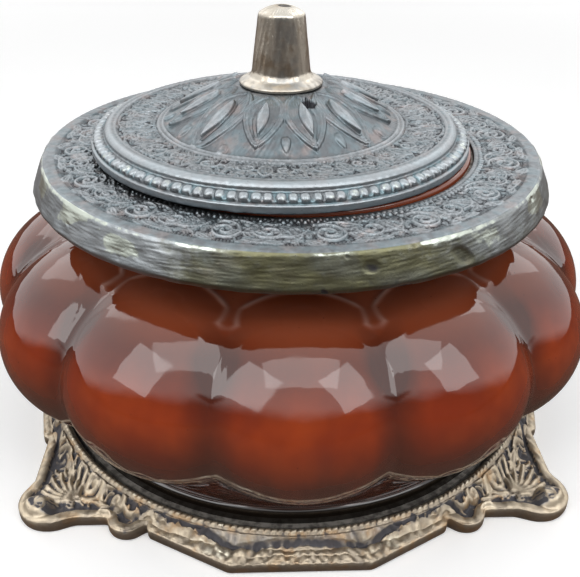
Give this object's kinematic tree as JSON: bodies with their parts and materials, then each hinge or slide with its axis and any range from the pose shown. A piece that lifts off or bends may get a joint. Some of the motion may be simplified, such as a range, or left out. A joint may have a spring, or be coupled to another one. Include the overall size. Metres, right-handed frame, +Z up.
{
  "type": "lidded glass jar",
  "caption": "Squat melon-lobed amber glass jar with cast metal collar, lift-off lotus lid with a peg knob, and an oblong scrollwork stand.",
  "frame": {"origin": "centre of the underside of the stand, on the surface that the jar stands on", "axes": "+Z up the jar's axis, -Y towards the long front side of the stand, +X to the right"},
  "size_m": [0.1228, 0.1228, 0.0846],
  "materials": {
    "antique_brass": "cast, antiqued, bright on the high spots and blue-black in the hollows",
    "setting_cement": "matte plaster",
    "amber_glass": "glossy, deep orange-red",
    "antique_white_metal": "cast white metal, antiqued, worn bright on the high spots",
    "knob_metal": "cast, worn, olive-grey",
    "plain_steel": "plain zinc-plated"
  },
  "bodies": {
    "jar": {"base_stand": "antique_brass", "base_cement": "setting_cement", "glass_bowl": "amber_glass", "collar_cement": "setting_cement", "collar": "antique_white_metal"},
    "lid": {"lid": "antique_white_metal", "knob": "knob_metal", "knob_washer": "plain_steel", "knob_screw": "plain_steel"}
  },
  "joints": [
    {"name": "lid_lift", "type": "slide", "parent": "jar", "child": "lid", "axis": [0, 0, 1], "range_m": [0, 0.1]}
  ]
}
